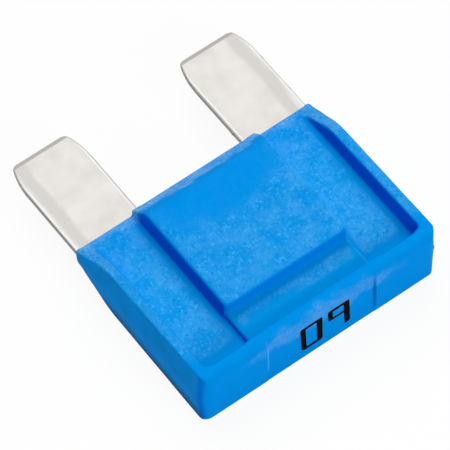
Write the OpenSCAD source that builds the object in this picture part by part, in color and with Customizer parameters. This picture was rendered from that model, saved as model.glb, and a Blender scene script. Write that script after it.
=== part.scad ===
// Maxi-size automotive blade fuse, lying flat as it would on a bench.
// Two like moulded shells close on one stamped element whose legs end in the
// blades. +Y points along the blades, +Z is up, X runs across the body and
// the origin is under the middle of the part, on the surface it lies on.

/* [Body] */
// Width over the two end faces at the seam
body_width = 29.2; // [28:0.1:34]
// Thickness over the front and back faces
body_thickness = 8.5; // [7.6:0.1:10]
// Length from the head face to the nose
body_length = 21.7; // [20:0.1:26]
// Lean of the moulded outer faces away from the seam, degrees
face_draft = 1.3; // [0.5:0.1:3]
// Radius of the upright corners of the head
head_corner_radius = 1.5; // [0.8:0.1:2.2]
// Radius along the front edge of the head
head_edge_radius = 1.1; // [0.6:0.1:1.5]
// Depth of the head from its face back to the side panels
head_depth = 1.65; // [1.5:0.05:2.4]
// Radius along the back edge of the head, over the side panels
head_back_radius = 0.35; // [0.2:0.05:0.6]
// Width of the shallow recess for the rating on the head face
recess_width = 13.4; // [8:0.1:20]
// Depth of that recess at the seam; its floor is upright
recess_depth = 0.25; // [0.15:0.05:0.5]

/* [End rims] */
// Width of each end rim at the panel floor
rim_width = 1.35; // [1.1:0.05:1.8]
// Lean of the inner wall of the rim, degrees
rim_draft = 3.5; // [1:0.5:6]
// How much lower the rim is where its ramp starts than at the head
rim_fall = 0.4; // [0.1:0.05:0.8]
// Length of the ramp that takes the rim down to the nose
ramp_length = 5.1; // [4.5:0.1:6.5]
// Radius where the rim turns into its ramp
ramp_crest_radius = 5; // [2:0.5:6]
// Length of the low land in front of the ramp
nose_land = 0.7; // [0.5:0.1:1.2]
// Height of the nose above the seam beside the blades
nose_height = 1.14; // [1:0.02:1.3]
// Radius along the edge of the nose
nose_radius = 0.45; // [0.2:0.05:0.6]

/* [Side panels] */
// Height of the panel floor above the seam
panel_height = 1.25; // [1.15:0.05:1.6]
// Radius along the foot of the panel walls
foot_radius = 0.4; // [0.2:0.05:0.6]

/* [Plateau] */
// Width of the plateau across its flat top
plateau_width = 15.3; // [14.6:0.1:15.8]
// Distance from the head face to the flat top of the plateau
plateau_start = 5.8; // [5:0.1:7]
// Lean of the plateau's side and head walls, degrees
plateau_draft = 2; // [1:0.5:4]
// Length of the sloped front of the plateau
plateau_ramp = 2.35; // [1.8:0.05:3]
// Height of the plateau above the seam at the nose
plateau_nose = 1.9; // [1.7:0.05:2.2]
// Radius of the long top edges of the plateau
plateau_edge_radius = 0.4; // [0.2:0.05:0.6]
// Radius of the plateau's two upright corners beside the head, at their foot
plateau_corner_radius = 1; // [0.6:0.1:1.6]
// Radius where the top of the plateau turns into its slope
plateau_crest_radius = 1.2; // [0.5:0.1:1.6]
// Height above the seam of the low step between head and plateau
step_height = 2.3; // [1.9:0.05:2.8]
// Radius of the long top edges of the low step
step_edge_radius = 0.2; // [0.1:0.05:0.4]
// How far the low step stands in from the plateau's side walls
step_inset = 0.15; // [0.05:0.05:0.4]

/* [Inside] */
// Wall between the chamber and the outside of the plateau
wall = 1.1; // [0.9:0.05:1.2]
// Play between the legs and the edges of their slots
leg_play = 0.05; // [0.02:0.01:0.1]
// Distance from the head face to the top end of the legs
leg_start = 3.4; // [3:0.1:4.5]
// Diameter of the posts that weld together through the legs
post_diameter = 2.4; // [2:0.1:3]
// Distance from the head face to the posts
post_place = 11.6; // [10:0.1:13]
// Play around a post in the hole of its leg
post_play = 0.15; // [0.1:0.05:0.3]

/* [Element] */
// Length over all, from the head face to the tips of the blades
overall_length = 34.3; // [32:0.1:38]
// Width of each blade
blade_width = 8; // [7.8:0.1:8.2]
// Thickness of the stamped strip
strip_thickness = 0.8; // [0.7:0.05:0.9]
// Length over which each tip narrows
tip_length = 3.8; // [3:0.1:4.5]
// How much each side narrows by at the tip
tip_inset = 0.8; // [0.5:0.05:1.2]
// Radius of the tip's corners
tip_radius = 0.8; // [0.4:0.05:1]
// Length of the bevel on both faces of the tip
bevel_length = 0.7; // [0.4:0.05:1]
// Depth of that bevel
bevel_depth = 0.28; // [0.15:0.01:0.32]
// Width of the melting link
link_width = 2.2; // [1.8:0.1:2.6]
// Thickness of the link after coining
link_thickness = 0.4; // [0.3:0.05:0.6]
// Gap between each arm of the link and the leg beside it
link_gap = 1.9; // [1.4:0.1:2.2]
// Distance from the head face to the bridge of the link
link_start = 7.6; // [7.4:0.1:8.4]
// Distance from the head face to the feet of the link
link_end = 17.4; // [16.4:0.1:17.8]
// Inner radius of the bends of the link
link_bend = 0.7; // [0.4:0.1:0.9]
// Width of the notch that marks where the link parts
notch_width = 0.7; // [0.4:0.1:1]

/* [Time-delay pill] */
// Diameter of the pill's heads
pill_diameter = 1.8; // [1.6:0.1:1.9]
// Height of each head above the link
pill_head = 0.3; // [0.2:0.05:0.5]
// Diameter of the pill's shank in the link
pill_shank = 1.1; // [0.8:0.1:1.3]

/* [Hidden] */
$fn = 96;
over = 1;
arc_excess = 1.001;
half_width = body_width / 2;
half_thickness = body_thickness / 2;
half_strip = strip_thickness / 2;
seam = [0, -overall_length / 2, half_thickness];
face_lean = half_thickness * tan(face_draft);
rim_inner = half_width - rim_width;
plateau_side = plateau_width / 2;
step_side = plateau_side + (half_thickness - step_height) * tan(plateau_draft) - step_inset;
slope = atan((half_thickness - plateau_nose) / plateau_ramp);
blade_inner = half_width - blade_width;
blade_middle = half_width - blade_width / 2;
leg_outer = rim_inner - leg_play;
leg_middle = (blade_inner + leg_outer) / 2;
chamber_side = blade_inner - leg_play;
link_middle = link_start + link_width / 2;
post_hole = post_diameter + 2 * post_play;

function unit(v) = v / norm(v);
function half_angle(p, q, s) = acos(unit(p - q) * unit(s - q)) / 2;
function arc_centre(p, q, s, r) =
    q + unit(unit(p - q) + unit(s - q)) * r / sin(half_angle(p, q, s));

// What an arc of radius r takes off, or fills in, at corner q between p and s.
// The arc is a hair larger than one that just touches both sides.
module corner(p, q, s, r) {
    t = r / tan(half_angle(p, q, s));
    c = arc_centre(p, q, s, r);
    difference() {
        polygon([q + (q - c) / 2, q + unit(p - q) * t, c, q + unit(s - q) * t]);
        translate(c)
            circle(r * arc_excess);
    }
}

// A drawing of the side, Y right and Z up, pulled across the width
module across(width) {
    translate([-width / 2, 0, 0])
        rotate([90, 0, 90])
            linear_extrude(width)
                children();
}

// A drawing of the end, X right and Z up, pulled from one Y to the next
module along(from, to) {
    translate([0, to, 0])
        rotate([90, 0, 0])
            linear_extrude(to - from)
                children();
}

// Head, rim and ramp seen from the side, one half above the seam
module rim_side() {
    a = [0, 0];
    b = [face_lean, half_thickness];
    c = [head_depth, half_thickness];
    d = [body_length - ramp_length, half_thickness - rim_fall];
    e = [body_length - nose_land, panel_height];
    f = [body_length, nose_height];
    g = [body_length, 0];
    difference() {
        union() {
            polygon([a, b, c, d, e, f, g]);
            corner(d, e, f, nose_land);
        }
        corner(a, b, c + [over, 0], head_edge_radius);
        corner(c, d, e, ramp_crest_radius);
        corner(e, f, g, nose_radius);
    }
}

// The outline of one shell seen from the front, rounded at the head's corners
module plan() {
    a = [-half_width, body_length + over];
    b = [-half_width, 0];
    c = [half_width, 0];
    d = [half_width, body_length + over];
    difference() {
        polygon([a, b, c, d]);
        corner(a, b, c, head_corner_radius);
        corner(b, c, d, head_corner_radius);
    }
}

// The block that the panels are sunk into, with its leaning end faces
module block() {
    intersection() {
        across(body_width + over)
            rim_side();
        linear_extrude(half_thickness)
            plan();
        along(-over, body_length + over)
            polygon([
                [-half_width, 0],
                [half_width, 0],
                [half_width - face_lean, half_thickness],
                [face_lean - half_width, half_thickness],
            ]);
    }
}

// The space over both side panels, from one Y to the next
module panel_space(from, to) {
    top = half_thickness + over;
    lean = (top - panel_height) * tan(rim_draft);
    a = [-rim_inner - lean, top];
    b = [-rim_inner, panel_height];
    c = [rim_inner, panel_height];
    d = [rim_inner + lean, top];
    along(from, to)
        difference() {
            polygon([a, b, c, d]);
            corner(a, b, c, foot_radius);
            corner(b, c, d, foot_radius);
        }
}

// What the back edge of the head loses to its radius, from rim to rim
module head_back_edge() {
    a = [0, half_thickness];
    b = [head_depth, half_thickness];
    c = [head_depth, 0];
    intersection() {
        across(body_width)
            corner(a, b, c, head_back_radius);
        panel_space(0, head_depth + over);
    }
}

// The raised middle over the chamber, with its sloped front
module plateau() {
    tilt = half_thickness * tan(plateau_draft);
    foot = plateau_start - tilt;
    a = [foot, 0];
    b = [plateau_start, half_thickness];
    c = [body_length - plateau_ramp, half_thickness];
    d = [body_length, plateau_nose];
    e = [body_length, 0];
    low = plateau_side + tilt;
    p = [-low, 0];
    q = [-plateau_side, half_thickness];
    r = [plateau_side, half_thickness];
    s = [low, 0];
    difference() {
        intersection() {
            across(2 * low + over)
                difference() {
                    polygon([a, b, c, d, e]);
                    corner(a, b, c, plateau_edge_radius);
                    corner(b, c, d, plateau_crest_radius);
                    corner(c, d, e, nose_radius);
                }
            along(0, body_length + over)
                difference() {
                    polygon([p, q, r, s]);
                    corner(p, q, r, plateau_edge_radius);
                    corner(q, r, s, plateau_edge_radius);
                }
        }
        translate([0, 0, -over])
            linear_extrude(half_thickness + 2 * over)
                for (side = [0, 1])
                    mirror([side, 0])
                        corner([0, foot], [low, foot], [low, body_length], plateau_corner_radius);
    }
}

// The low step that joins the plateau to the head
module low_step() {
    tilt = step_height * tan(plateau_draft);
    p = [-step_side - tilt, 0];
    q = [-step_side, step_height];
    r = [step_side, step_height];
    s = [step_side + tilt, 0];
    along(head_edge_radius, plateau_start + wall)
        difference() {
            polygon([p, q, r, s]);
            corner(p, q, r, step_edge_radius);
            corner(q, r, s, step_edge_radius);
        }
}

// The chamber for the link, a wall thinner than the plateau all round
module chamber() {
    top = half_thickness - wall;
    inset = wall / sin(slope);
    back = head_depth + wall / 2;
    low = step_height - wall;
    front = body_length - wall;
    knee = body_length - plateau_ramp - inset + wall / tan(slope);
    across(2 * chamber_side)
        polygon([
            [back, -over],
            [back, low],
            [plateau_start + wall, low],
            [plateau_start + wall, top],
            [knee, top],
            [front, top - (front - knee) * tan(slope)],
            [front, -over],
        ]);
}

// The slot for one leg, open at the nose
module leg_slot() {
    translate([chamber_side, leg_start - leg_play, -over])
        cube([rim_inner - chamber_side, body_length, over + half_strip]);
}

// The shallow recess in the head face, which runs out on the head's rounded edge
module recess() {
    translate([-recess_width / 2, -over, -over])
        cube([recess_width, over + recess_depth, 2 * over + half_thickness]);
}

// One moulded shell, from the seam up
module shell() {
    difference() {
        union() {
            difference() {
                block();
                panel_space(head_depth, body_length + over);
                head_back_edge();
            }
            plateau();
            low_step();
        }
        chamber();
        leg_slot();
        mirror([1, 0, 0])
            leg_slot();
        recess();
    }
    for (side = [-1, 1])
        translate([side * leg_middle, post_place, 0])
            cylinder(h = half_strip + wall / 2, d = post_diameter);
}

module shell_front() {
    color("#1488E0")
        translate(seam)
            shell();
}

module shell_back() {
    color("#1580D4")
        translate(seam)
            rotate([0, 180, 0])
                shell();
}

// The outline of one blade, to the right of the middle
module blade() {
    shoulder = overall_length - tip_length;
    bow = (tip_length * tip_length + tip_inset * tip_inset) / (2 * tip_inset);
    lean = asin(tip_length / bow);
    edge = [blade_width / 2 - tip_inset, overall_length];
    down = edge + [sin(lean), -cos(lean)];
    translate([blade_middle, 0]) {
        translate([-blade_width / 2, body_length])
            square([blade_width, shoulder - body_length]);
        difference() {
            intersection() {
                translate([-blade_width / 2, shoulder])
                    square([blade_width, tip_length]);
                translate([blade_width / 2 - bow, shoulder])
                    circle(bow);
                translate([bow - blade_width / 2, shoulder])
                    circle(bow);
            }
            corner([0, overall_length], edge, down, tip_radius);
            mirror([1, 0])
                corner([0, overall_length], edge, down, tip_radius);
        }
    }
}

// One leg inside the body, narrower than its blade by the rim
module leg() {
    difference() {
        translate([blade_inner, leg_start])
            square([leg_outer - blade_inner, body_length - leg_start]);
        translate([leg_middle, post_place])
            circle(d = post_hole);
    }
}

// The right half of the link: foot, arm, bend and half the bridge
module link_half() {
    outer = blade_inner - link_gap;
    inner = outer - link_width;
    bend = link_bend + link_width;
    centre = [outer - bend, link_start + bend];
    difference() {
        union() {
            translate([inner, centre[1]])
                square([link_width, link_end - centre[1]]);
            translate([0, link_start])
                square([centre[0], link_width]);
            intersection() {
                translate(centre)
                    circle(bend);
                translate([centre[0], link_start])
                    square([bend, bend]);
            }
            translate([inner, link_end - link_width])
                square([blade_inner - inner + over, link_width]);
        }
        translate(centre)
            circle(link_bend);
        translate([outer, link_middle + link_width + bend])
            circle(d = notch_width);
        translate([inner, link_middle + link_width + bend])
            circle(d = notch_width);
    }
}

// The stamped strip: two blades, their legs and the thinner link between them
module fuse_element() {
    color("#DDD9CF")
        translate(seam) {
            difference() {
                translate([0, 0, -half_strip])
                    linear_extrude(strip_thickness)
                        for (side = [0, 1])
                            mirror([side, 0]) {
                                blade();
                                leg();
                            }
                across(body_width + over)
                    for (side = [0, 1])
                        mirror([0, side])
                            polygon([
                                [overall_length - bevel_length, half_strip],
                                [overall_length + over, half_strip + over],
                                [overall_length + over, half_strip - bevel_depth],
                                [overall_length, half_strip - bevel_depth],
                            ]);
            }
            difference() {
                translate([0, 0, -link_thickness / 2])
                    linear_extrude(link_thickness)
                        for (side = [0, 1])
                            mirror([side, 0])
                                link_half();
                translate([0, link_middle, -strip_thickness])
                    cylinder(h = 2 * strip_thickness, d = pill_shank);
            }
        }
}

// The pill, headed over on both faces of the link
module delay_pill() {
    color("#B9BCC0")
        translate(seam + [0, link_middle, 0])
            for (side = [0, 1])
                mirror([0, 0, side]) {
                    cylinder(h = link_thickness / 2, d = pill_shank);
                    translate([0, 0, link_thickness / 2])
                        cylinder(h = pill_head, d = pill_diameter);
                }
}

shell_front();
shell_back();
fuse_element();
delay_pill();
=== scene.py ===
# %% [markdown]
# # A large automotive blade fuse
#
# The fuse is two blue moulded shells closed on one stamped, tin-plated strip,
# with a small tin pill on the melting link inside. Its construction comes in
# as a fixed frame, in metres. This script gives it its finish: soft moulded
# edges, the grain of the mould, the plating, the printed rating, and a plain
# studio to look at it in.

import math
from types import SimpleNamespace

import bmesh
import bpy
from mathutils import Matrix, Vector


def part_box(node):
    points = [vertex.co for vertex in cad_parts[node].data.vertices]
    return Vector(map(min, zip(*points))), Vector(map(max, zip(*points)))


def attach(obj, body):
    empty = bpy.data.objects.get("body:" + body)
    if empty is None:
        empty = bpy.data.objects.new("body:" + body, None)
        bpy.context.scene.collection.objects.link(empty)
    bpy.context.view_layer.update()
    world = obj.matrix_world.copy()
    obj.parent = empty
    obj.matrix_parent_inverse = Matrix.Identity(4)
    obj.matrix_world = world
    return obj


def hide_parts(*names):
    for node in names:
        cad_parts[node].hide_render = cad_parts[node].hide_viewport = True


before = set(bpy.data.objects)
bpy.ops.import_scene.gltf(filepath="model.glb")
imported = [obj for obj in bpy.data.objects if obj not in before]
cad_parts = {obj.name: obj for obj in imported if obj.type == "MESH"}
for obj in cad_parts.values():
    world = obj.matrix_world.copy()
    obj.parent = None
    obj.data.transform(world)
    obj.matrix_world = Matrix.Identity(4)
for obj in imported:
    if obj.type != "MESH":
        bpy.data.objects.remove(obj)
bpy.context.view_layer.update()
MM = 0.001
print("nodes:", sorted(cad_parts))

# %% [markdown]
# The frame says where everything is. The places that the finish needs are
# worked out from the nodes' boxes: the head face, the seam between the shells
# and the half width. They could be typed in as numbers, but then the finish
# would slide off the body when a size of the fuse changes. The few distances
# that can't be read from a box are written once here, as real sizes.

# %% Sizes taken from the frame
front_low, front_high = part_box("shell_front")
back_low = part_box("shell_back")[0]
strip_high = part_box("fuse_element")[1]
HEAD_Y = front_low.y
NOSE_Y = front_high.y
SEAM_Z = front_low.z
TOP_Z = front_high.z
HALF_WIDTH = front_high.x
HALF_THICKNESS = TOP_Z - SEAM_Z
RECESS_DEPTH = 0.25 * MM
BLADE_HALF = 4 * MM
BLADE_MIDDLE = strip_high.x - BLADE_HALF
STREAK_MIDDLE = strip_high.x - 1.25 * MM
print("body, mm:", [round(v / MM, 2) for v in front_high - back_low])


# %% [markdown]
# ## Camera
#
# The fuse was photographed with a long lens from above its left head corner.
# A camera can be dragged into place by eye, but here it is worked out: it
# looks at a point near the middle of the whole fuse, from a known direction
# and distance, and is rolled a little under two degrees. The same helper
# turns the lamps later.

# %% Camera
CAMERA_AZIMUTH = math.radians(-35.139)
CAMERA_ELEVATION = math.radians(58.525)
CAMERA_ROLL = math.radians(-1.708)
CAMERA_DISTANCE = 446.67 * MM
CAMERA_LENS = 352.44
CAMERA_TARGET = Vector((-0.576 * MM, HEAD_Y + 15.609 * MM, SEAM_Z))


def aim(azimuth, elevation, roll):
    """The direction towards a camera or lamp, and the turn that looks back along it."""
    back = Vector((
        math.sin(azimuth) * math.cos(elevation),
        -math.cos(azimuth) * math.cos(elevation),
        math.sin(elevation),
    ))
    right = Vector((math.cos(azimuth), math.sin(azimuth), 0))
    up = back.cross(right)
    turned_right = right * math.cos(roll) + up * math.sin(roll)
    turned_up = up * math.cos(roll) - right * math.sin(roll)
    turn = Matrix((turned_right, turned_up, back)).transposed()
    return back, turn.to_4x4()


back, turn = aim(CAMERA_AZIMUTH, CAMERA_ELEVATION, CAMERA_ROLL)
camera = bpy.data.objects.new("camera", bpy.data.cameras.new("camera"))
camera.data.lens = CAMERA_LENS
camera.data.sensor_width = 36
camera.data.clip_start = 0.01
camera.data.clip_end = 10
camera.matrix_world = Matrix.Translation(CAMERA_TARGET + back * CAMERA_DISTANCE) @ turn
bpy.context.scene.collection.objects.link(camera)
bpy.context.scene.camera = camera
print("camera at, mm:", [round(v / MM) for v in camera.matrix_world.translation])


# %% [markdown]
# ## Helpers for nodes
#
# People write colours as hex codes, and Blender's nodes work in linear light,
# so one function turns one into the other. Nodes can be placed by hand in the
# editor; here one small function adds a node with its settings and links, so
# that the script says in a line or two what each node does. Many of them fade
# a mark in or out by some measure: FROM names the two values between which it
# fades, and TO the two that come out. Two more helpers put together what is
# used again and again: a share made of several fades, and a colour under
# several thin layers.

# %% Colours and nodes
FROM = ("From Min", "From Max")
TO = ("To Min", "To Max")
SMOOTH = {"interpolation_type": "SMOOTHSTEP"}


def linear(code):
    """An sRGB hex colour such as 1E8CE6 as linear red, green, blue, alpha."""
    parts = [int(code[i:i + 2], 16) / 255 for i in (0, 2, 4)]
    return [p / 12.92 if p <= 0.04045 else ((p + 0.055) / 1.055) ** 2.4 for p in parts] + [1]


def add(tree, kind, values=None, **settings):
    """A node of that kind with its settings.

    values holds inputs by name or number, as numbers or as sockets; a pair of
    names takes a pair of values.
    """
    node = tree.nodes.new(kind)
    for name, value in settings.items():
        setattr(node, name, value)
    for keys, held in (values or {}).items():
        for key, value in zip(keys, held) if isinstance(keys, tuple) else [(keys, held)]:
            socket = node.inputs[key]
            if isinstance(value, bpy.types.NodeSocket):
                tree.links.new(value, socket)
            else:
                socket.default_value = value
    return node


def new_material(name):
    """An empty material and its node tree."""
    material = bpy.data.materials.new(name)
    material.use_nodes = True
    material.node_tree.nodes.clear()
    return material, material.node_tree


# %% Shares and layers
def graded(tree, share, *windows, **settings):
    """A share multiplied once for each window.

    A window is a measure and a pair, where it is none and where it is full;
    a second pair gives the least and the most instead of 0 and 1.
    """
    for measure, span, *ends in windows:
        values = {"Value": measure, FROM: span, TO: ends[0] if ends else (0.0, 1.0)}
        part = add(tree, "ShaderNodeMapRange", values, **settings).outputs[0]
        share = add(tree, "ShaderNodeMath", {0: share, 1: part}, operation="MULTIPLY").outputs[0]
    return share


def layered(tree, colour, *layers):
    """A colour under thin layers, each with its share, its strength and its hex colour."""
    for share, strength, code in layers:
        cover = add(tree, "ShaderNodeMath", {0: share, 1: strength}, operation="MULTIPLY")
        colour = add(tree, "ShaderNodeMix", {
            "Factor": cover.outputs[0], "A": colour, "B": linear(code),
        }, data_type="RGBA").outputs["Result"]
    return colour


# %% [markdown]
# ## Soft moulded edges
#
# A mould has no perfectly sharp edge. The frame's solids carry the large
# radii, and the small ones, about 0.2 mm, are made here. A Bevel modifier is
# the usual way, but it would fight with the narrow strips of the large radii.
# So the closed body is rebuilt as an even skin of small squares and smoothed
# a few times, which rounds every edge and every inner corner alike.

# %% Rebuild a solid as an even skin
MERGE = 0.0005  # millimetres between two points that are one


def merged_copy(names):
    """The named nodes as one mesh in millimetres, its loose triangles joined."""
    mesh = bmesh.new()
    for name in names:
        mesh.from_mesh(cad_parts[name].data)
    bmesh.ops.scale(mesh, vec=(1 / MM,) * 3, verts=mesh.verts)
    bmesh.ops.remove_doubles(mesh, verts=mesh.verts, dist=MERGE)
    return mesh


def apply_modifiers(item):
    """The item's evaluated shape as a plain mesh, with its modifiers gone."""
    graph = bpy.context.evaluated_depsgraph_get()
    shaped = bpy.data.meshes.new_from_object(item.evaluated_get(graph))
    item.modifiers.clear()
    item.data = shaped
    return item


def plain_object(name, mesh):
    """A new object at the origin with that mesh."""
    item = bpy.data.objects.new(name, bpy.data.meshes.new(name))
    mesh.to_mesh(item.data)
    bpy.context.scene.collection.objects.link(item)
    return item


def even_skin(name, mesh, square, rounds):
    """A closed mesh in millimetres rebuilt with even squares, its edges softened."""
    item = plain_object(name, mesh)
    remesh = item.modifiers.new("even", "REMESH")
    remesh.mode = "VOXEL"
    remesh.voxel_size = square
    smooth = item.modifiers.new("soft", "SMOOTH")
    smooth.factor = 0.5
    smooth.iterations = rounds
    return apply_modifiers(item)


# %% [markdown]
# ## The grain of the mould
#
# The flats of the mould were spark-eroded, which leaves a fine, even relief of
# shallow craters; its head and side walls were polished. A bump map alone
# would vanish at the outline, and craters can't be carved one by one, so the
# relief is a rule in a node tree: it pushes each point of the skin along its
# normal by a noise, only where the surface faces up or down and lies away
# from the head. Real craters are about a tenth of a millimetre wide, too fine
# to show here, so they are drawn about four times as coarse.
#
# The same tree shapes two more things. It eases the inner edges and corners
# by averaging each point with its neighbours, many times over in the creases
# where the side panels rise to the head. And it swells the outer walls by
# what the smoothing took from them, the end walls a little more toward the
# seam, which is the draft that lets a half leave its mould, with one small
# fleck of flash on the seam at the head's right end.

# %% Sizes of the relief, in millimetres
# A window gives where something is none and where it is full.
ORIGIN = (0, HEAD_Y / MM, SEAM_Z / MM)
END = HALF_WIDTH / MM
NOSE = NOSE_Y / MM
TOP = HALF_THICKNESS / MM
GRAIN_SIZE = 0.42
GRAIN_DEPTH = 0.012
GRAIN_START = 2.4
GRAIN_FULL = 3.7
GRAIN_LEVEL = (0.6, 0.95)  # how far the normal points up or down
CRATERS = (0.25, 0.75)
INSIDE_ENDS = (END - 0.6, END - 1.0)
BEFORE_NOSE = (NOSE - 0.9, NOSE - 1.8)
BEHIND_HEAD = (1.2, 1.6)
PANEL_FOOT = (3.4, 2.7)
BESIDE_BLOCK = (7.9, 8.7)
BEFORE_RIM = (END - 1.6, END - 2.4)
END_WALL = (END - 0.6, END - 0.2)
RECESS_SIDE = (6.75, 6.6)
RECESS_TOP = (3.6, 3.2)
FLASH = ((14.7, 1.0, 0.1), (0.6, 0.4, 0.3))
FLASH_HEIGHT = 0.1
SOFT_TURNS = 4
CREASE_TURNS = 55
SWELL = 0.07
DRAFT_SWELL = 0.12


# %% Where a point of the skin is
PATCH_FADE = (1.15, 0.65)


def patch(tree, where, middle, half):
    """1 within an oval patch, fading to 0 outside it."""
    away = add(tree, "ShaderNodeVectorMath", {0: where, 1: middle}, operation="SUBTRACT")
    measured = add(tree, "ShaderNodeVectorMath", {0: away.outputs[0], 1: half}, operation="DIVIDE")
    far = add(tree, "ShaderNodeVectorMath", {0: measured.outputs[0]}, operation="LENGTH")
    return add(tree, "ShaderNodeMapRange", {
        "Value": far.outputs["Value"], FROM: PATCH_FADE,
    }, **SMOOTH).outputs[0]


def places(tree, head_face):
    """The sockets that say where a point lies and how it faces, by name."""
    at = SimpleNamespace()
    at.place = add(tree, "GeometryNodeInputPosition").outputs[0]
    at.normal = add(tree, "GeometryNodeInputNormal").outputs[0]
    at.spot = add(tree, "ShaderNodeSeparateXYZ", {0: at.place}).outputs
    at.facing = add(tree, "ShaderNodeSeparateXYZ", {0: at.normal}).outputs
    at.behind = add(tree, "ShaderNodeMath", {
        0: at.spot["Y"], 1: head_face,
    }, operation="SUBTRACT").outputs[0]
    at.from_seam = add(tree, "ShaderNodeVectorMath", {
        0: at.place, 1: ORIGIN,
    }, operation="SUBTRACT").outputs[0]
    over = add(tree, "ShaderNodeSeparateXYZ", {0: at.from_seam}).outputs["Z"]
    at.aside, at.off_seam, at.level = (
        add(tree, "ShaderNodeMath", {0: value}, operation="ABSOLUTE").outputs[0]
        for value in (at.spot["X"], over, at.facing["Z"])
    )
    at.inner = graded(
        tree, 1.0, (at.aside, INSIDE_ENDS), (at.spot["Y"], BEFORE_NOSE),
        (at.behind, BEHIND_HEAD), **SMOOTH,
    )
    return at


# %% Soft edges, relief and swell
def eased(tree, geometry, at):
    """The skin with its inner edges eased, the creases at the head most."""
    crease = graded(
        tree, 1.0, (at.behind, BEHIND_HEAD), (at.behind, PANEL_FOOT),
        (at.aside, BESIDE_BLOCK), (at.aside, BEFORE_RIM), **SMOOTH,
    )
    for weight, turns in ((at.inner, SOFT_TURNS), (crease, CREASE_TURNS)):
        averaged = add(tree, "GeometryNodeBlurAttribute", {
            "Value": at.place, "Iterations": turns, "Weight": weight,
        }, data_type="FLOAT_VECTOR").outputs[0]
        geometry = add(tree, "GeometryNodeSetPosition", {
            "Geometry": geometry, "Position": averaged,
        }).outputs[0]
    return geometry


def relief(tree, given, at, share):
    """The push that leaves the eroded craters."""
    pitch = add(tree, "ShaderNodeMath", {0: 1.0, 1: given["Grain size"]}, operation="DIVIDE")
    noise = add(tree, "ShaderNodeTexNoise", {
        "Vector": at.place, "Scale": pitch.outputs[0], "Detail": 2.0, "Roughness": 0.6,
    })
    height = add(tree, "ShaderNodeMapRange", {
        "Value": noise.outputs[0], FROM: CRATERS, TO: (-1.0, 0.0),
    }).outputs[0]
    for factor in (given["Depth"], share):
        height = add(tree, "ShaderNodeMath", {
            0: height, 1: factor,
        }, operation="MULTIPLY").outputs[0]
    return add(tree, "ShaderNodeVectorMath", {
        0: at.normal, "Scale": height,
    }, operation="SCALE").outputs[0]


def swell(tree, at):
    """The push that fills the outer walls, with the end walls' draft and the flash."""
    end_wall = add(tree, "ShaderNodeMapRange", {"Value": at.aside, FROM: END_WALL}).outputs[0]
    drafted = add(tree, "ShaderNodeMapRange", {
        "Value": at.off_seam, FROM: (0.0, TOP), TO: (SWELL + DRAFT_SWELL, SWELL),
    }).outputs[0]
    outward = add(tree, "ShaderNodeMapRange", {
        "Value": end_wall, TO: (SWELL, drafted),
    }).outputs[0]
    recess = graded(tree, 1.0, (at.aside, RECESS_SIDE), (at.off_seam, RECESS_TOP))
    kept = add(tree, "ShaderNodeMath", {0: at.inner, 1: recess}, operation="MAXIMUM").outputs[0]
    outer = add(tree, "ShaderNodeMath", {0: 1.0, 1: kept}, operation="SUBTRACT").outputs[0]
    flash = add(tree, "ShaderNodeMath", {
        0: patch(tree, at.from_seam, *FLASH), 1: FLASH_HEIGHT,
    }, operation="MULTIPLY").outputs[0]
    swollen = add(tree, "ShaderNodeMath", {
        0: outward, 1: outer, 2: flash,
    }, operation="MULTIPLY_ADD").outputs[0]
    sideways = add(tree, "ShaderNodeVectorMath", {
        0: at.normal, 1: (1, 1, 0),
    }, operation="MULTIPLY").outputs[0]
    return add(tree, "ShaderNodeVectorMath", {
        0: sideways, "Scale": swollen,
    }, operation="SCALE").outputs[0]


# %% [markdown]
# ## Marks of the mould, and painted light and shade
#
# The material has to know which kind of surface it is on. It could be painted
# by hand, but the places follow the shape, so the tree works them out and
# keeps each as an attribute of the skin's points:
#
# - grain: where the mould was eroded.
# - bloom: the pale film on the open flats and on the rims, partly
#   the pale bloom of the grained plastic and partly a painted reflection of
#   the lamps. It stays away from the walls, and it is thin at the nose end of
#   the block and on the left of the step.
# - haze: a painted lilac highlight on the head's rounded edge, at
#   the nose and on the ramps. A slow noise makes the edges of the pale film and
#   of this highlight ragged.
# - wall: painted shade on the inner walls that face left, away from the
#   light, and less of it on the head's left corner.
# - pale_edge: a painted highlight on the rounded edges that face right.
# - dark_line and light_line: painted shade on the right end
#   of the recess for the print, and a painted highlight on its left end.

# %% Places of the marks, in millimetres
# A patch is the middle and the half size of an oval, measured from the point
# where the head face meets the seam. A window on a facing is a part of the
# normal: 1 looks right or to the nose, -1 left.
CLEAR_FRONT = ((0, 19.0, 4.2), (9.5, 5.2, 1.6))
CLEAR_STEP = ((-3.5, 3.6, 2.3), (4.5, 1.3, 1.0))
CLEARED = 0.9
# Patches of the painted lilac highlight on the head's edge, the nose and the block's ramp.
PALE_EDGE = ((0.5, 0.2, 2.5), (9.8, 1.3, 1.6))
PALE_NOSE = ((0, 21.6, 2.6), (20, 1.2, 2.6))
PALE_RAMP = ((0, 21.25, 3.6), (8.6, 1.5, 1.9))
# Painted shade on the recess's right end and a painted highlight on its left end.
DARK_LINE = ((6.62, 0.2, 0.4), (0.17, 0.6, 3.2))
LIGHT_LINE = ((-6.78, 0.2, 1.2), (0.16, 0.6, 3.0))
# Strengths of the painted highlight on the head's edge, the nose and the rims' ramps.
EDGE_HIGHLIGHT = 0.6
NOSE_HIGHLIGHT = 1.3
RAMP_HIGHLIGHT = 0.5
RAGGED_SCALE = 0.55  # waves in a millimetre, so each is about 1.8 mm
RAGGED_REACH = 2.4
FILM_TURNS = 28
FILM_START = (0.75, 0.4)  # share of grained neighbours, low on the body and on its top
FILM_FULL = (1.0, 0.75)
BODY_TOP = (TOP - 1, TOP - 0.6)
RIM_TOP = (END - 1.6, END - 1.3)
SLOPING = (0.1, 0.2)
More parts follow.
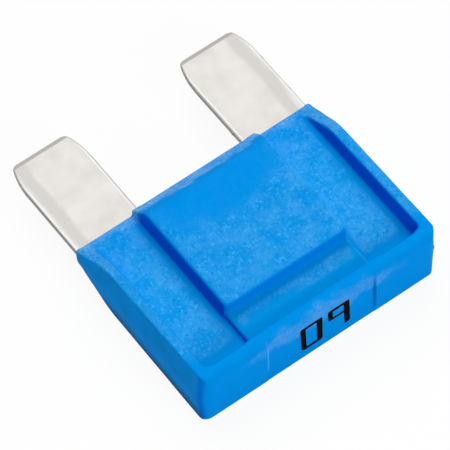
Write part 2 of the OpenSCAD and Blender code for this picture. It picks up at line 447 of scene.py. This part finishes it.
# Where the painted shade lies: walls that face left, less of it on the head's left corner.
FACING_LEFT = (-0.9, -0.98)
HEAD_CORNER = (1.5, 1.0)
CORNER_SHADE = 0.6
CORNER_START = (-0.6, -0.8)
CORNER_STOP = (-0.998, -0.97)
# Where the painted highlight on the right-facing edges lies, and how strong it is.
FACING_RIGHT = (0.15, 0.6)
RIGHT_OF_RIM = (-10.0, -9.0)
PALENESS = (0.09, 0.5)


# %% Film and rub
def ragged_place(tree, at):
    """The place from the seam, shifted about so that the marks' edges are ragged."""
    spread = add(tree, "ShaderNodeTexNoise", {
        "Vector": at.place, "Scale": RAGGED_SCALE, "Detail": 3.0,
    })
    centred = add(tree, "ShaderNodeVectorMath", {
        0: spread.outputs["Color"], 1: (0.5, 0.5, 0.5),
    }, operation="SUBTRACT").outputs[0]
    drift = add(tree, "ShaderNodeVectorMath", {
        0: centred, "Scale": RAGGED_REACH,
    }, operation="SCALE").outputs[0]
    return add(tree, "ShaderNodeVectorMath", {0: at.from_seam, 1: drift}).outputs[0]


def film_and_sheen_share(tree, at, share, rim, ragged):
    """The pale film, partly bloom and partly a painted reflection of the lamps, the same above and
    below the seam.
    """
    parts = add(tree, "ShaderNodeSeparateXYZ", {0: ragged}).outputs
    lift = add(tree, "ShaderNodeMath", {0: parts["Z"]}, operation="ABSOLUTE").outputs[0]
    folded = add(tree, "ShaderNodeCombineXYZ", {
        "X": parts["X"], "Y": parts["Y"], "Z": lift,
    }).outputs[0]
    clear = add(tree, "ShaderNodeMath", {
        0: patch(tree, folded, *CLEAR_FRONT), 1: patch(tree, folded, *CLEAR_STEP),
    }, operation="MAXIMUM").outputs[0]
    kept = add(tree, "ShaderNodeMath", {
        0: clear, 1: -CLEARED, 2: 1.0,
    }, operation="MULTIPLY_ADD").outputs[0]
    spread = add(tree, "GeometryNodeBlurAttribute", {
        "Value": share, "Iterations": FILM_TURNS,
    }, data_type="FLOAT").outputs[0]
    top = add(tree, "ShaderNodeMapRange", {"Value": at.off_seam, FROM: BODY_TOP}).outputs[0]
    span = [
        add(tree, "ShaderNodeMapRange", {"Value": top, TO: ends}).outputs[0]
        for ends in (FILM_START, FILM_FULL)
    ]
    open_flat = add(tree, "ShaderNodeMapRange", {"Value": spread, FROM: span}, **SMOOTH).outputs[0]
    flats = add(tree, "ShaderNodeMath", {0: open_flat, 1: rim}, operation="MAXIMUM").outputs[0]
    return add(tree, "ShaderNodeMath", {0: flats, 1: kept}, operation="MULTIPLY").outputs[0]


def highlight_share(tree, at, rim, ragged):
    """The painted lilac highlight: the ramps of the rims, the nose with the block's ramp, the
    head's edge.
    """
    nose = add(tree, "ShaderNodeMath", {
        0: patch(tree, ragged, *PALE_NOSE), 1: patch(tree, ragged, *PALE_RAMP),
    }, operation="MAXIMUM").outputs[0]
    highlight = 0.0
    for share, strength in (
        (graded(tree, rim, (at.facing["Y"], SLOPING)), RAMP_HIGHLIGHT),
        (nose, NOSE_HIGHLIGHT),
        (patch(tree, ragged, *PALE_EDGE), EDGE_HIGHLIGHT),
    ):
        highlight = add(tree, "ShaderNodeMath", {
            0: share, 1: strength, 2: highlight,
        }, operation="MULTIPLY_ADD").outputs[0]
    return highlight


def wall_shade_share(tree, at):
    """Painted shade on the inner walls that face left, and on the head's left corner."""
    inner_wall = graded(tree, at.inner, (at.facing["X"], FACING_LEFT))
    corner = graded(
        tree, CORNER_SHADE, (at.behind, HEAD_CORNER),
        (at.facing["X"], CORNER_START), (at.facing["X"], CORNER_STOP),
    )
    return add(tree, "ShaderNodeMath", {
        0: inner_wall, 1: corner,
    }, operation="MAXIMUM").outputs[0]


def surface_marks(tree, at, share):
    """Every mark but the grain itself, by the name of its attribute."""
    ragged = ragged_place(tree, at)
    rim = graded(tree, share, (at.aside, RIM_TOP))
    return {
        # the pale film: partly bloom, partly a painted reflection of the lamps
        "bloom": film_and_sheen_share(tree, at, share, rim, ragged),
        # painted lilac highlight
        "haze": highlight_share(tree, at, rim, ragged),
        # painted shade on the walls that face left
        "wall": wall_shade_share(tree, at),
        # painted highlight on the rounded edges that face right
        "pale_edge": graded(
            tree, at.inner, (at.facing["X"], FACING_RIGHT),
            (at.spot["X"], RIGHT_OF_RIM, PALENESS),
        ),
        # painted shade and highlight at the two ends of the recess
        "dark_line": patch(tree, at.from_seam, *DARK_LINE),
        "light_line": patch(tree, at.from_seam, *LIGHT_LINE),
    }


# %% The whole tree
def grain_tree(finish):
    """Geometry nodes that emboss the grain and mark the surface, in millimetres."""
    tree = bpy.data.node_groups.new("eroded_grain", "GeometryNodeTree")
    face = tree.interface
    face.new_socket("Geometry", in_out="INPUT", socket_type="NodeSocketGeometry")
    for name in ("Grain size", "Depth", "Head face", "Smooth until", "Full from"):
        face.new_socket(name, in_out="INPUT", socket_type="NodeSocketFloat")
    face.new_socket("Geometry", in_out="OUTPUT", socket_type="NodeSocketGeometry")
    given = add(tree, "NodeGroupInput").outputs
    at = places(tree, given["Head face"])
    share = graded(
        tree, 1.0, (at.behind, (given["Smooth until"], given["Full from"])),
        (at.level, GRAIN_LEVEL), **SMOOTH,
    )
    offset = add(tree, "ShaderNodeVectorMath", {
        0: relief(tree, given, at, share), 1: swell(tree, at),
    }).outputs[0]
    grained = add(tree, "GeometryNodeStoreNamedAttribute", {
        "Geometry": eased(tree, given["Geometry"], at), "Name": "grain", "Value": share,
    }, data_type="FLOAT", domain="POINT").outputs[0]
    marked = add(tree, "GeometryNodeSetPosition", {
        "Geometry": grained, "Offset": offset,
    }).outputs[0]
    for name, value in surface_marks(tree, at, share).items():
        marked = add(tree, "GeometryNodeStoreNamedAttribute", {
            "Geometry": marked, "Name": name, "Value": value,
        }, data_type="FLOAT", domain="POINT").outputs[0]
    real = add(tree, "GeometryNodeRealizeInstances", {"Geometry": marked})
    painted = add(tree, "GeometryNodeSetMaterial", {
        "Geometry": real.outputs[0], "Material": finish,
    })
    add(tree, "NodeGroupOutput", {0: painted.outputs[0]})
    print("relief tree:", len(tree.nodes), "nodes")
    return tree


def use_tree(item, tree, **values):
    """Put the tree on the item as a modifier; values are its inputs by name."""
    modifier = item.modifiers.new(tree.name, "NODES")
    modifier.node_group = tree
    inputs = {s.name: s.identifier for s in tree.interface.items_tree if s.in_out == "INPUT"}
    for name, value in values.items():
        modifier[inputs[name.replace("_", " ")]] = value
    return apply_modifiers(item)


# %% [markdown]
# ## Blue polyamide
#
# The shells are moulded in blue polyamide. Polished mould faces come out
# smooth and deep in colour; eroded faces scatter the light, so they look
# paler, with tiny pale specks and dark pits. The paler clouds on the flats
# are partly the polyamide's bloom and partly a painted reflection of the
# lamps, laid a little stronger to the right, on the side of the light. An
# image could hold all that for one view, but noise in real sizes holds it from
# every side and at any scale. The colour is one base under thin layers, each
# laid only where its attribute and its noise are.
#
# The end walls are polished too, but handling left a dull mottle on them, and
# a painted shade darkens them toward their foot. The specular level is far
# below the usual 0.5, because the lamps are kept out of reflections and the
# white surround would wash the deep blue out.

# %% The blue's noises and windows
# Sizes are in metres on the surface; windows are levels of a noise. The grains
# are as coarse as the relief, so that they show.
GRAINS, BLOTCHES, CLOUDS = 0.36 * MM, 0.8 * MM, 2.2 * MM
SPECK, SPECK_STRENGTH = (0.53, 0.7), 0.68
PIT, PIT_STRENGTH = (0.56, 0.7), 0.74
BLOTCH, BLOTCH_STRENGTH = (0.4, 0.62), 0.4
CLOUD, CLOUD_FILM = (0.4, 0.62), (0.05, 0.9)
# Painted reflection: the pale film grows toward the right, the side of the light.
RIGHTWARD_SHEEN = (0.85, 1.25)
# Where the painted highlight shows among the clouds, and where the grain breaks it.
HIGHLIGHT_CLOUDS, HIGHLIGHT_SPREAD = (0.36, 0.62), (0.2, 0.55)
BROKEN_HIGHLIGHT, BREAKS = (0.35, 0.6), (0.35, 1.3)
BROKEN_EDGE, EDGE_BREAKS = (0.4, 0.56), (0.35, 1.0)
DULL, DULL_STRENGTH = (0.45, 0.62), 0.3
END_FACE = (HALF_WIDTH - 0.25 * MM, HALF_WIDTH)
# Painted shade at the foot of the end walls: where it starts and where it is full.
END_FOOT_SHADE = (-1.5 * MM, -4.1 * MM)
PANEL_LEVEL = (3.4 * MM, 2.8 * MM)
BEHIND_NOSE = (NOSE_Y - 3.2 * MM, NOSE_Y - 6.5 * MM)
PAST_HEAD = (HEAD_Y + 1.8 * MM, HEAD_Y + 2.4 * MM)
# Strengths of the painted shade and highlight at the recess's ends.
DARK_END, LIGHT_END = 0.55, 0.6
POLISHED_TO_GRAINED = (0.42, 0.65)
MARKS = ("grain", "bloom", "haze", "wall", "pale_edge", "dark_line", "light_line")


# %% The body's material
def noises(tree, place):
    """The grains' colour channels, the blotches and the clouds."""
    fine, blotches, clouds = (
        add(tree, "ShaderNodeTexNoise", {
            "Vector": place, "Scale": 1 / size, "Detail": detail, "Roughness": roughness,
        }).outputs
        for size, detail, roughness in (
            (GRAINS, 3.0, 0.7), (BLOTCHES, 3.0, 0.6), (CLOUDS, 6.0, 0.72),
        )
    )
    grains = add(tree, "ShaderNodeSeparateColor", {0: fine["Color"]}).outputs
    return grains, blotches[0], clouds[0]


def base_blue(tree, spot, off_seam, end, film):
    """The bare and the filmed blue, with a painted greener tint in the sunk panels that offsets
    the blue they reflect onto each other.
    """
    past_head = add(tree, "ShaderNodeMapRange", {"Value": spot["Y"], FROM: PAST_HEAD}).outputs[0]
    indoors = add(tree, "ShaderNodeMath", {
        0: past_head, 1: end,
    }, operation="SUBTRACT", use_clamp=True).outputs[0]
    # Painted tint: the sunk panels are greener to offset the blue they reflect onto each other.
    sunk = graded(tree, indoors, (off_seam, PANEL_LEVEL), (spot["Y"], BEHIND_NOSE))
    raised, lowered = (
        add(tree, "ShaderNodeMix", {
            "Factor": film, "A": linear(bare), "B": linear(filmed),
        }, data_type="RGBA").outputs["Result"]
        for bare, filmed in (("008DE3", "399CE8"), ("0096E0", "40A3E6"))
    )
    return add(tree, "ShaderNodeMix", {
        "Factor": sunk, "A": raised, "B": lowered,
    }, data_type="RGBA").outputs["Result"]


def polyamide():
    """Moulded blue polyamide, smooth at the head and finely grained on the flats."""
    material, tree = new_material("blue_polyamide_moulded")
    place = add(tree, "ShaderNodeTexCoord").outputs["Object"]
    mark = {
        name: add(tree, "ShaderNodeAttribute", attribute_name=name).outputs["Fac"]
        for name in MARKS
    }
    grains, blotches, clouds = noises(tree, place)
    spot = add(tree, "ShaderNodeSeparateXYZ", {0: place}).outputs
    over_seam = add(tree, "ShaderNodeMath", {
        0: spot["Z"], 1: SEAM_Z,
    }, operation="SUBTRACT").outputs[0]
    off_seam, aside = (
        add(tree, "ShaderNodeMath", {0: value}, operation="ABSOLUTE").outputs[0]
        for value in (over_seam, spot["X"])
    )
    end = add(tree, "ShaderNodeMapRange", {"Value": aside, FROM: END_FACE}).outputs[0]
    # The pale film, partly bloom and partly a painted reflection of the lamps.
    film = graded(
        tree, mark["bloom"], (clouds, CLOUD, CLOUD_FILM),
        (spot["X"], (-HALF_WIDTH, HALF_WIDTH), RIGHTWARD_SHEEN),
    )
    # Painted lilac highlight, broken by the clouds and the grain.
    highlight = graded(
        tree, mark["haze"], (clouds, HIGHLIGHT_CLOUDS, HIGHLIGHT_SPREAD), (grains[0], BROKEN_HIGHLIGHT, BREAKS),
    )
    specks = graded(tree, mark["bloom"], (grains[0], SPECK))
    pits = graded(tree, mark["bloom"], (grains[1], PIT))
    green = graded(tree, mark["bloom"], (blotches, BLOTCH))
    mottle = graded(tree, end, (clouds, DULL))
    # Painted shade: the end walls darken toward their foot.
    foot = graded(tree, end, (over_seam, END_FOOT_SHADE), **SMOOTH)
    # Painted highlight on the rounded edges that face right, broken by the clouds.
    edge = graded(tree, mark["pale_edge"], (clouds, BROKEN_EDGE, EDGE_BREAKS))
    colour = layered(
        tree, base_blue(tree, spot, off_seam, end, film),
        (green, BLOTCH_STRENGTH, "0A94D4"),
        # painted lilac highlight
        (highlight, 1.0, "7CB8F4"),
        (pits, PIT_STRENGTH, "0870BC"),
        (specks, SPECK_STRENGTH, "44B8FA"),
        (mottle, DULL_STRENGTH, "0A6CA6"),
        # painted shade at the foot of the end walls
        (foot, 1.0, "005A94"),
        (edge, 1.0, "3ABEFF"),
        # painted shade on the walls that face left
        (mark["wall"], 1.0, "0066DC"),
        # painted shade and highlight at the recess's ends
        (mark["dark_line"], DARK_END, "0068B4"),
        (mark["light_line"], LIGHT_END, "50AEF2"),
    )
    rough = add(tree, "ShaderNodeMapRange", {"Value": mark["grain"], TO: POLISHED_TO_GRAINED})
    bump = add(tree, "ShaderNodeBump", {
        "Strength": 0.3, "Distance": 0.02 * MM, "Height": specks,
    })
    shader = add(tree, "ShaderNodeBsdfPrincipled", {
        "Base Color": colour, "Roughness": rough.outputs[0],
        "Specular IOR Level": 0.002, "Normal": bump.outputs[0],
    })
    add(tree, "ShaderNodeOutputMaterial", {"Surface": shader.outputs[0]})
    return material


blue = polyamide()
print(blue.name, "nodes:", len(blue.node_tree.nodes))


# %% [markdown]
# ## The two shells
#
# On the real fuse two mouldings are welded along the middle. They could be
# rebuilt one by one, but then the softening would round their edges where
# they meet and leave a groove that the weld doesn't have. So both are rebuilt
# together as one closed body, which is then cut at the seam, and each cut is
# closed with flat faces.

# %% One body from both shells
SKIN_SQUARE = 0.15
SKIN_ROUNDS = 2
CUT_SLACK = 1e-5
SHARP_ANGLE = math.radians(38)


def joined_body():
    """Both shells as one closed solid, in millimetres."""
    front = plain_object("front", merged_copy(["shell_front"]))
    rear = plain_object("rear", merged_copy(["shell_back"]))
    union = front.modifiers.new("union", "BOOLEAN")
    union.operation = "UNION"
    union.solver = "EXACT"
    union.object = rear
    apply_modifiers(front)
    mesh = bmesh.new()
    mesh.from_mesh(front.data)
    for item in (front, rear):
        bpy.data.objects.remove(item)
    return mesh


def finished(item):
    """Smooth shading on a piece whose mesh is final, and its size printed."""
    item.data.shade_smooth()
    item.data.set_sharp_from_angle(angle=SHARP_ANGLE)
    print(item.name, "triangles:", sum(len(p.vertices) - 2 for p in item.data.polygons))
    return item


# %% Cut it into its halves
def half_of(body, name, turned):
    """One side of the seam as a closed piece in metres; the rear is turned over to be cut."""
    mesh = bmesh.new()
    mesh.from_mesh(body.data)
    if turned:
        middle = Matrix.Translation((0, 0, SEAM_Z / MM))
        spin = middle @ Matrix.Rotation(math.pi, 4, "Y") @ middle.inverted()
        bmesh.ops.transform(mesh, matrix=spin, verts=mesh.verts)
    everything = mesh.verts[:] + mesh.edges[:] + mesh.faces[:]
    bmesh.ops.bisect_plane(
        mesh, geom=everything, dist=CUT_SLACK, clear_inner=True,
        plane_co=(0, 0, SEAM_Z / MM), plane_no=(0, 0, 1),
    )
    rim = [e for e in mesh.edges if len(e.link_faces) == 1]
    bmesh.ops.triangle_fill(mesh, edges=rim, use_beauty=True, normal=(0, 0, -1))
    if turned:
        bmesh.ops.transform(mesh, matrix=spin, verts=mesh.verts)
    bmesh.ops.scale(mesh, vec=(MM,) * 3, verts=mesh.verts)
    piece = plain_object(name, mesh)
    piece.data.materials.append(blue)
    return finished(piece)


body = even_skin("body", joined_body(), SKIN_SQUARE, SKIN_ROUNDS)
use_tree(
    body, grain_tree(blue), Grain_size=GRAIN_SIZE, Depth=GRAIN_DEPTH,
    Head_face=HEAD_Y / MM, Smooth_until=GRAIN_START, Full_from=GRAIN_FULL,
)
for node, turned in (("shell_front", False), ("shell_back", True)):
    piece = half_of(body, node + "_moulding", turned)
    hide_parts(node)
    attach(piece, "root")
bpy.data.objects.remove(body)


# %% [markdown]
# ## Tin-plated strip
#
# The blades are stamped from strip that was tin plated first, so both faces
# are satin tin and the cut edges are bare grey zinc. Near each blade's outer
# edge the plating is rubbed dull in a streak along the blade, and the edges of
# the faces gleam where the shear turned them over. Painted lines could show
# that, but measures taken from each blade's own middle keep it in place on
# both blades. The metal keeps its default IOR and is rough enough to stay
# pale all over, as satin tin does.

# %% The strip's wear
CUT_EDGE = (0.7, 0.35)  # how far the normal points up or down
BEVEL = (0.975, 0.94)
SMEARS, SMEAR = 2.5 * MM, (0.35, 0.65)
WANDER = 1.6 * MM  # how far the streak wanders over the noise's whole range
STREAK_EDGE = (1.0 * MM, 0.35 * MM)
GLEAM_EDGE = (BLADE_HALF - 0.45 * MM, BLADE_HALF - 0.28 * MM)
GLEAM_PATCHES = ((0.4, 0.55), (0.35, 1.0))
TIN_ROUGHNESS = (0.3, 0.5)


def drawn_noise(tree, place, across, along, roughness):
    """A noise drawn out along the blades, with its sizes across and along."""
    drawn = add(tree, "ShaderNodeMapping", {
        "Vector": place, "Scale": (1 / across, 1 / along, 1 / across),
    }).outputs[0]
    return add(tree, "ShaderNodeTexNoise", {
        "Vector": drawn, "Scale": 1.0, "Detail": 4.0, "Roughness": roughness,
    }).outputs[0]


def distance(tree, value, middle):
    """How far a value is from a middle, on either side."""
    apart = add(tree, "ShaderNodeMath", {0: value, 1: middle}, operation="SUBTRACT")
    return add(tree, "ShaderNodeMath", {0: apart.outputs[0]}, operation="ABSOLUTE").outputs[0]


# %% The strip's material
def tinned_strip():
    """Satin tin plating on the faces, bare sheared zinc on the cut edges."""
    material, tree = new_material("tin_plated_zinc_strip")
    place = add(tree, "ShaderNodeTexCoord").outputs["Object"]
    normal = add(tree, "ShaderNodeNewGeometry").outputs["Normal"]
    tilt = add(tree, "ShaderNodeSeparateXYZ", {0: normal}).outputs["Z"]
    across = add(tree, "ShaderNodeSeparateXYZ", {0: place}).outputs["X"]
    level, side = (
        add(tree, "ShaderNodeMath", {0: value}, operation="ABSOLUTE").outputs[0]
        for value in (tilt, across)
    )
    smears = add(tree, "ShaderNodeTexNoise", {
        "Vector": place, "Scale": 1 / SMEARS, "Detail": 3.0, "Roughness": 0.5,
    }).outputs[0]
    wave = drawn_noise(tree, place, 3 * MM, 6 * MM, 0.55)
    rolled = drawn_noise(tree, place, 0.5 * MM, 6 * MM, 0.6)
    wander = add(tree, "ShaderNodeMath", {
        0: wave, 1: WANDER, 2: side,
    }, operation="MULTIPLY_ADD").outputs[0]
    smear, bevelled, cut = (
        add(tree, "ShaderNodeMapRange", {"Value": measure, FROM: window}).outputs[0]
        for measure, window in ((smears, SMEAR), (level, BEVEL), (level, CUT_EDGE))
    )
    worn, rolled_edge = (
        add(tree, "ShaderNodeMapRange", {
            "Value": distance(tree, value, middle), FROM: window,
        }, **SMOOTH).outputs[0]
        for value, middle, window in (
            (wander, STREAK_MIDDLE + WANDER / 2, STREAK_EDGE), (side, BLADE_MIDDLE, GLEAM_EDGE),
        )
    )
    colour = layered(
        tree, linear("E4E0D9"),
        (smear, 1.0, "EEEBE7"),
        (worn, 1.0, "DAD7D3"),
        (graded(tree, rolled_edge, (rolled, *GLEAM_PATCHES)), 1.0, "F8F7F5"),
        (bevelled, 1.0, "BAB7B2"),
        (cut, 1.0, "7C7B78"),
    )
    rough = add(tree, "ShaderNodeMapRange", {"Value": rolled, TO: TIN_ROUGHNESS})
    bump = add(tree, "ShaderNodeBump", {
        "Strength": 0.12, "Distance": 0.02 * MM, "Height": rolled,
    })
    shader = add(tree, "ShaderNodeBsdfPrincipled", {
        "Base Color": colour, "Roughness": rough.outputs[0],
        "Metallic": 1.0, "Normal": bump.outputs[0],
    })
    add(tree, "ShaderNodeOutputMaterial", {"Surface": shader.outputs[0]})
    return material


# %% [markdown]
# The strip's shape is softened like the body's, with a finer skin because it
# is thin. The shear also left a few burrs on its edges. They are too small
# and too few for a tool, so the skin's points near each are pulled out.

# %% Build the strip
STRIP_SQUARE = 0.12
STRIP_ROUNDS = 2
BURRS = [(6.6, 24.0, -1), (14.6, 24.8, 1), (14.6, 29.6, 1)]  # x, from the head, side
BURR_REACH = 0.35
BURR_HEIGHT = 0.14
strip = even_skin("fuse_strip", merged_copy(["fuse_element"]), STRIP_SQUARE, STRIP_ROUNDS)
for x, along, direction in BURRS:
    foot = Vector((x, HEAD_Y / MM + along, SEAM_Z / MM))
    for spot in strip.data.vertices:
        near = 1 - (spot.co - foot).length / BURR_REACH
        if near > 0:
            spot.co.x += direction * BURR_HEIGHT * near
strip.data.transform(Matrix.Scale(MM, 4))
strip.data.materials.append(tinned_strip())
finished(strip)
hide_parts("fuse_element")
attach(strip, "root")


# %% [markdown]
# ## The time-delay pill
#
# A pill of plain cast tin on the link takes up heat, so that the fuse allows a
# short overload. It could be rebuilt like the strip, but its solid is right as
# it is and hidden inside the body, so only its material changes.

# %% The pill's material
def cast_tin():
    """Cast tin, dull grey with a faint crystalline mottle."""
    material, tree = new_material("cast_tin")
    place = add(tree, "ShaderNodeTexCoord").outputs["Object"]
    mottle = add(tree, "ShaderNodeTexNoise", {
        "Vector": place, "Scale": 1 / (0.3 * MM), "Detail": 3.0,
    }).outputs[0]
    colour = add(tree, "ShaderNodeMix", {
        "Factor": mottle, "A": linear("A9ADB1"), "B": linear("C9CCCF"),
    }, data_type="RGBA").outputs["Result"]
    rough = add(tree, "ShaderNodeMapRange", {"Value": mottle, TO: (0.4, 0.6)})
    shader = add(tree, "ShaderNodeBsdfPrincipled", {
        "Base Color": colour, "Roughness": rough.outputs[0], "Metallic": 1.0,
    })
    add(tree, "ShaderNodeOutputMaterial", {"Surface": shader.outputs[0]})
    return material


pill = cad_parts["delay_pill"]
pill.data.materials.clear()
pill.data.materials.append(cast_tin())
print("pill, mm:", [round(v / MM, 2) for v in pill.dimensions])


# %% [markdown]
# ## The printed rating
#
# The rating is pad printed on the head, in near-black ink, so that it can be
# read with the blades up; here it is upside down. A font could give the
# digits, but the pad's strokes have their own proportions, so they are
# outlines with rounded corners, filled as a flat curve and thickened to a
# film that lies on the recess floor.

# %% Outlines of the digits, in millimetres on the recess floor
INK_FILM = 0.012
INK_LEAN = -0.034
ARC_STEPS = 5
ZERO = [
    [(-2.55, -2.5, 0.5), (0.12, -2.5, 0.4), (0.2, 1.85, 0.3), (-2.58, 1.85, 0.3)],
    [(-1.88, -2.05, 0.15), (-0.6, -2.05, 0.15), (-0.55, 1.38, 0.12), (-1.92, 1.38, 0.12)],
]
SIX = [
    [
        (2.88, -2.4, 0.15), (3.58, -2.4, 0.3), (3.58, 1.9, 0.35), (0.88, 1.9, 0.3),
        (0.88, -0.1, 0.35), (2.84, -0.1, 0.1),
    ],
    [(1.48, 0.28, 0.1), (2.84, 0.28, 0.1), (2.84, 1.42, 0.1), (1.48, 1.42, 0.1)],
]


def rounded(corners):
    """Points of an outline whose corners (x, z, radius) are rounded by arcs."""
    points = []
    for i, (x, z, radius) in enumerate(corners):
        here = Vector((x, z))
        before = (Vector(corners[i - 1][:2]) - here).normalized()
        after = (Vector(corners[(i + 1) % len(corners)][:2]) - here).normalized()
        half = before.angle(after) / 2
        start = here + before * radius / math.tan(half)
        stop = here + after * radius / math.tan(half)
        centre = here + (before + after).normalized() * radius / math.sin(half)
        for step in range(ARC_STEPS + 1):
            spoke = (start - centre).slerp(stop - centre, step / ARC_STEPS).normalized()
            points.append(centre + spoke * radius)
    return points


# %% The film
def drawn_strokes(name, glyphs):
    """The glyphs' outlines as a flat filled curve of the film's thickness."""
    curve = bpy.data.curves.new(name, "CURVE")
    curve.dimensions = "2D"
    curve.fill_mode = "BOTH"
    curve.extrude = INK_FILM / 2
    for outline in (o for glyph in glyphs for o in glyph):
        points = rounded(outline)
        spline = curve.splines.new("POLY")
        spline.points.add(len(points) - 1)
        spline.use_cyclic_u = True
        for spot, place in zip(spline.points, points):
            spot.co = (place.x + INK_LEAN * place.y, place.y, 0, 1)
    drawn = bpy.data.objects.new(name, curve)
    bpy.context.scene.collection.objects.link(drawn)
    return drawn


def ink_film(name, glyphs, finish):
    """The strokes as a thin closed film on the recess floor."""
    drawn = drawn_strokes(name, glyphs)
    graph = bpy.context.evaluated_depsgraph_get()
    mesh = bmesh.new()
    mesh.from_mesh(bpy.data.meshes.new_from_object(drawn.evaluated_get(graph)))
    bpy.data.objects.remove(drawn)
    bmesh.ops.remove_doubles(mesh, verts=mesh.verts, dist=MERGE)
    for spot in mesh.verts:
        x, z, lift = spot.co
        spot.co = (x, (HEAD_Y + RECESS_DEPTH) / MM - lift, SEAM_Z / MM + z)
    bmesh.ops.recalc_face_normals(mesh, faces=mesh.faces)
    bmesh.ops.scale(mesh, vec=(MM,) * 3, verts=mesh.verts)
    film = plain_object(name, mesh)
    film.data.materials.append(finish)
    return film


# %% Ink
def pad_ink():
    """Two-part pad printing ink, near black, a little thin in places."""
    material, tree = new_material("pad_printing_ink")
    place = add(tree, "ShaderNodeTexCoord").outputs["Object"]
    thin = add(tree, "ShaderNodeTexNoise", {
        "Vector": place, "Scale": 1 / (0.35 * MM), "Detail": 2.0,
    }).outputs[0]
    colour = add(tree, "ShaderNodeMix", {
        "Factor": thin, "A": linear("000002"), "B": linear("06060A"),
    }, data_type="RGBA").outputs["Result"]
    shader = add(tree, "ShaderNodeBsdfPrincipled", {
        "Base Color": colour, "Roughness": 0.6, "Specular IOR Level": 0.01,
    })
    add(tree, "ShaderNodeOutputMaterial", {"Surface": shader.outputs[0]})
    return material


rating = ink_film("rating_print", [ZERO, SIX], pad_ink())
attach(rating, "root")
print("print, mm:", [round(v / MM, 2) for v in rating.dimensions])


# %% [markdown]
# ## Floor, light and background
#
# The fuse lies on a pale floor under a dim even sky and three soft lamps: a
# large one above and behind the blades, a smaller one in front, and a weak
# one low on the left for the end of the body. More light would whiten the
# background too, but it would wash out the colours. So floor and sky are
# white to the camera and in reflections only, and the colours keep their
# level.

# %% Studio
FLOOR_SIZE = 4.0
FLOOR_GLOW = 0.92  # the rest of the floor's look is its shadow
SKY_LIGHT = 0.16
SHOWN_RAYS = ("Is Camera Ray", "Is Glossy Ray")
LAMPS = (  # name, azimuth and elevation in degrees, distance and size in metres, level
    ("lamp_above", 168, 63, 0.8, 0.7, 0.86),
    ("lamp_front", 8, 33, 0.5, 0.3, 0.54),
    ("lamp_low_left", -75, 8, 0.5, 0.08, 0.085),
)


def seen_by(tree, rays):
    """1 for the rays that show the background, 0 for those that light the fuse."""
    path = add(tree, "ShaderNodeLightPath").outputs
    seen = 0.0
    for ray in rays:
        seen = add(tree, "ShaderNodeMath", {0: seen, 1: path[ray]}, operation="MAXIMUM").outputs[0]
    return seen


def floor_finish():
    """Matt white floor; the camera sees its shadow lightly, everything else in full."""
    material, tree = new_material("white_floor")
    matt = add(tree, "ShaderNodeBsdfDiffuse", {"Color": linear("EFEFEF")})
    glow = add(tree, "ShaderNodeEmission", {"Color": (1, 1, 1, 1), "Strength": 1.0})
    share = add(tree, "ShaderNodeMath", {
        0: seen_by(tree, SHOWN_RAYS), 1: FLOOR_GLOW,
    }, operation="MULTIPLY").outputs[0]
    both = add(tree, "ShaderNodeMixShader", {
        0: share, 1: matt.outputs[0], 2: glow.outputs[0],
    })
    add(tree, "ShaderNodeOutputMaterial", {"Surface": both.outputs[0]})
    return material


def studio_floor(size):
    """A square floor at the height that the fuse rests on."""
    mesh = bmesh.new()
    bmesh.ops.create_grid(mesh, x_segments=1, y_segments=1, size=size / 2)
    floor = plain_object("floor", mesh)
    floor.data.materials.append(floor_finish())


# %% Sky and lamps
def white_surround(light):
    """A sky of that strength for light, and white for the camera and in reflections."""
    world = bpy.data.worlds.new("surround")
    world.use_nodes = True
    tree = world.node_tree
    tree.nodes.clear()
    shown = seen_by(tree, SHOWN_RAYS + ("Is Transmission Ray",))
    strength = add(tree, "ShaderNodeMapRange", {"Value": shown, TO: (light, 1.0)})
    sky = add(tree, "ShaderNodeBackground", {
        "Color": (1, 1, 1, 1), "Strength": strength.outputs[0],
    })
    add(tree, "ShaderNodeOutputWorld", {"Surface": sky.outputs[0]})
    bpy.context.scene.world = world


def soft_lamp(name, azimuth, elevation, distance, size, level):
    """A square lamp, kept out of reflections; level is about its share of full light."""
    back, turn = aim(math.radians(azimuth), math.radians(elevation), 0)
    lamp = bpy.data.objects.new(name, bpy.data.lights.new(name, "AREA"))
    lamp.data.shape = "SQUARE"
    lamp.data.size = size
    lamp.data.energy = level * math.pi ** 2 * distance ** 2
    lamp.matrix_world = Matrix.Translation(back * distance) @ turn
    lamp.visible_glossy = False
    bpy.context.scene.collection.objects.link(lamp)
    print(name, "watts:", round(lamp.data.energy, 3))


studio_floor(FLOOR_SIZE)
white_surround(SKY_LIGHT)
for lamp in LAMPS:
    soft_lamp(*lamp)
bpy.context.scene.view_settings.view_transform = "Standard"
